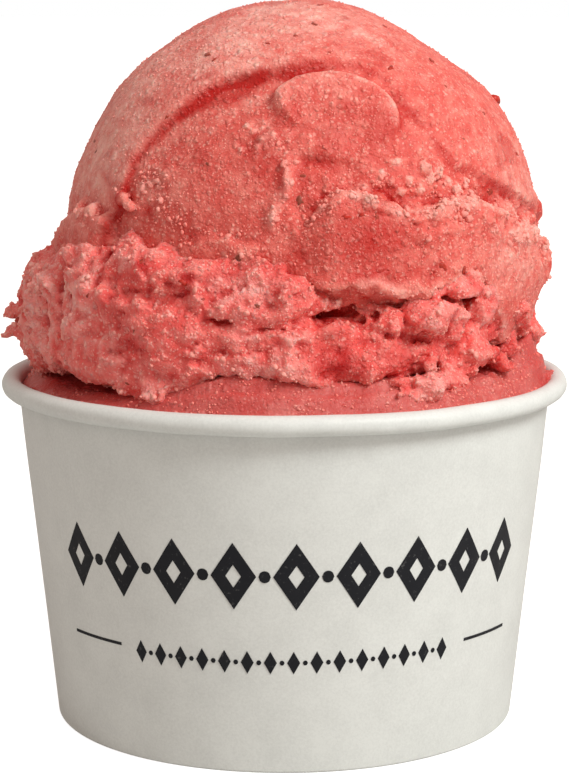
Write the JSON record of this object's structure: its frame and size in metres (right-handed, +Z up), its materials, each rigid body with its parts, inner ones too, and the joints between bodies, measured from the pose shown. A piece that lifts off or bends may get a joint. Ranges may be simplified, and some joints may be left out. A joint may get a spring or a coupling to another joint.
{
  "type": "gelato cup",
  "caption": "Round tapered paper cup with a rolled rim, filled to the brim and topped with a big ball of strawberry gelato that spreads in a ragged collar over the rim.",
  "frame": {"origin": "middle of the cup's foot, on the surface it stands on", "axes": "+Z up through the scoop, -Y the front shown in the picture, +X to the right of that front"},
  "size_m": [0.085, 0.085, 0.1071],
  "materials": {
    "paper": "white paper board with a faint satin coating",
    "base_paper": "white paper board, matt",
    "bed_gelato": "soft wet strawberry gelato",
    "scoop_gelato": "icy strawberry gelato, frosted above and wet in its cracks"
  },
  "bodies": {
    "root": {"cup_wall": "paper", "cup_base": "base_paper", "gelato_bed": "bed_gelato", "gelato_scoop": "scoop_gelato"}
  },
  "joints": []
}
